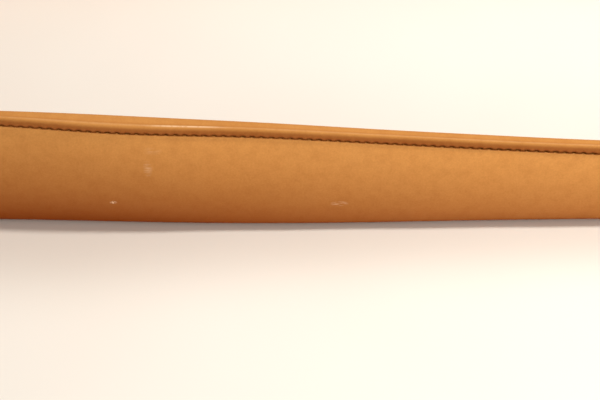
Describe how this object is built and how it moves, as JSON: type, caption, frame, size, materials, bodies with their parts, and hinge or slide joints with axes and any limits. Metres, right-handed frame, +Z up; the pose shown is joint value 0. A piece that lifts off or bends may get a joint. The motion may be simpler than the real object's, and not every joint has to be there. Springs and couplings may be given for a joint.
{
  "type": "money belt",
  "caption": "Tapered leather money belt standing as an open loop, with a zipped pocket along its inside, a prong buckle, keepers and a punched tail.",
  "frame": {"origin": "under the middle of the belt's bounding box, on the surface it stands on", "axes": "+X along the straight sides towards the buckle and the tail, -Y out of the front side that holds the pocket, +Z up"},
  "size_m": [0.4556, 0.1634, 0.0494],
  "materials": {
    "body_leather": "smooth, satin",
    "binding_leather": "smooth, satin",
    "strap_leather": "smooth, satin, painted edges",
    "seam_thread": "twisted, matt",
    "stiffener_board": "bonded fibre, matt",
    "lining_cloth": "plain weave, matt",
    "zip_tape": "woven, matt",
    "zip_metal": "satin, antiqued",
    "buckle_metal": "satin, antiqued"
  },
  "bodies": {
    "belt_body": {"body_shell": "body_leather", "top_binding": "binding_leather", "top_seam_thread": "seam_thread", "front_stiffener": "stiffener_board", "pocket_lining": "lining_cloth", "zip_tape_upper": "zip_tape", "zip_tape_lower": "zip_tape", "zip_teeth_upper": "zip_metal", "zip_teeth_lower": "zip_metal", "zip_thread_upper": "seam_thread", "zip_thread_lower": "seam_thread", "zip_closed_end_stop": "zip_metal", "zip_open_end_stop": "zip_metal", "tail_billet_root": "strap_leather", "buckle_billet_root": "strap_leather"},
    "zip_slider": {"zip_slider_body": "zip_metal", "zip_slider_back_plate": "zip_metal"},
    "zip_pull": {"zip_puller": "zip_metal", "zip_pull_tab": "strap_leather"},
    "tail_strap": {"tail_billet": "strap_leather"},
    "buckle_strap": {"buckle_billet": "strap_leather", "screw_post_1": "buckle_metal", "screw_post_2": "buckle_metal", "screw_cap_1": "buckle_metal", "screw_cap_2": "buckle_metal", "fixed_keeper": "strap_leather"},
    "keeper": {"sliding_keeper": "strap_leather"},
    "frame": {"buckle_frame": "buckle_metal", "buckle_bar": "buckle_metal"},
    "prong": {"buckle_prong": "buckle_metal"}
  },
  "joints": [
    {"name": "zip_slide", "type": "slide", "parent": "belt_body", "child": "zip_slider", "axis": [-1, 0, 0], "range_m": [0, 0.2]},
    {"name": "zip_pull_swing", "type": "hinge", "parent": "zip_slider", "child": "zip_pull", "pos_m": [0.10138, -0.07017, 0.0175], "axis": [0, 0, -1], "range_deg": [0, 170]},
    {"name": "tail_end_flex", "type": "hinge", "parent": "belt_body", "child": "tail_strap", "pos_m": [0.21253, -0.04387, 0.0175], "axis": [0, 0, -1], "range_deg": [-12, 25], "stiffness_Nm_per_rad": 0.05},
    {"name": "buckle_end_flex", "type": "hinge", "parent": "belt_body", "child": "buckle_strap", "pos_m": [0.00726, 0.07455, 0.0175], "axis": [0, 0, 1], "range_deg": [-12, 25], "stiffness_Nm_per_rad": 0.05},
    {"name": "keeper_slide", "type": "slide", "parent": "buckle_strap", "child": "keeper", "axis": [1, 0, 0], "range_m": [-0.035, 0.008]},
    {"name": "buckle_frame_swing", "type": "hinge", "parent": "buckle_strap", "child": "frame", "pos_m": [0.12038, 0.07125, 0.0175], "axis": [0, 0, 1], "range_deg": [-30, 30]},
    {"name": "prong_swing", "type": "hinge", "parent": "frame", "child": "prong", "pos_m": [0.12038, 0.07125, 0.0175], "axis": [0, 0, 1], "range_deg": [0, 110]}
  ]
}
